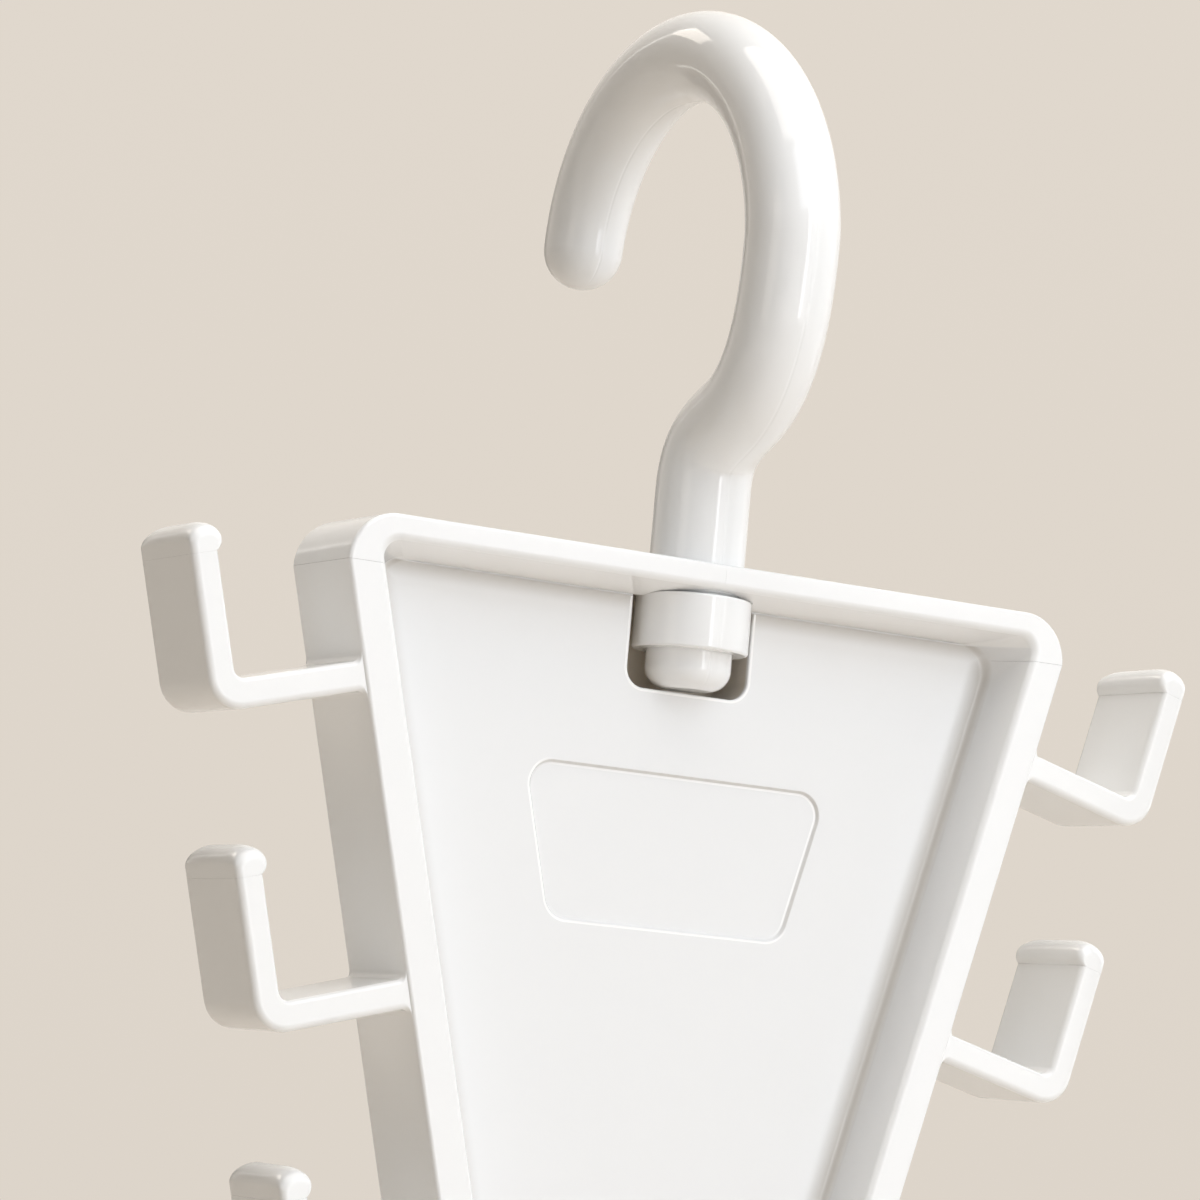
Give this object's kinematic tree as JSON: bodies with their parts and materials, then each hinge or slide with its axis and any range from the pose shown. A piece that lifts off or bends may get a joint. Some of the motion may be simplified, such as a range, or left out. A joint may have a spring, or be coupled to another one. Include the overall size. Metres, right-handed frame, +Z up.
{
  "type": "multi-hook hanger",
  "caption": "Tapered framed panel hanger with L-shaped side hooks for straps and belts and a thick swivelling hook for a wardrobe rod.",
  "frame": {"origin": "the seat under the hook's crown, where the hanger rests on the rod, in the middle plane of the hook", "axes": "+Z up along the swivel's axis; -Y out of the panel's front; the hook's tip points to +Y; X across the side hooks"},
  "size_m": [0.1688, 0.0762, 0.263],
  "materials": {
    "hook_plastic": "smooth glossy white moulding",
    "body_plastic": "smooth glossy white moulding, satin on the panel",
    "side_hook_plastic": "smooth glossy white moulding"
  },
  "bodies": {
    "rod_hook": {"swivel_hook": "hook_plastic", "retaining_collar": "hook_plastic"},
    "hanger_body": {"top_rail": "body_plastic", "tray": "body_plastic", "bottom_rail": "body_plastic", "left_hook_1": "side_hook_plastic", "left_hook_2": "side_hook_plastic", "left_hook_3": "side_hook_plastic", "left_hook_4": "side_hook_plastic", "right_hook_1": "side_hook_plastic", "right_hook_2": "side_hook_plastic", "right_hook_3": "side_hook_plastic", "right_hook_4": "side_hook_plastic", "left_tip_1": "side_hook_plastic", "left_tip_2": "side_hook_plastic", "left_tip_3": "side_hook_plastic", "left_tip_4": "side_hook_plastic", "right_tip_1": "side_hook_plastic", "right_tip_2": "side_hook_plastic", "right_tip_3": "side_hook_plastic", "right_tip_4": "side_hook_plastic"}
  },
  "joints": [
    {"name": "swivel", "type": "hinge", "parent": "rod_hook", "child": "hanger_body", "pos_m": [0, -0.0122, -0.0719], "axis": [0, 0, 1], "continuous": true}
  ]
}
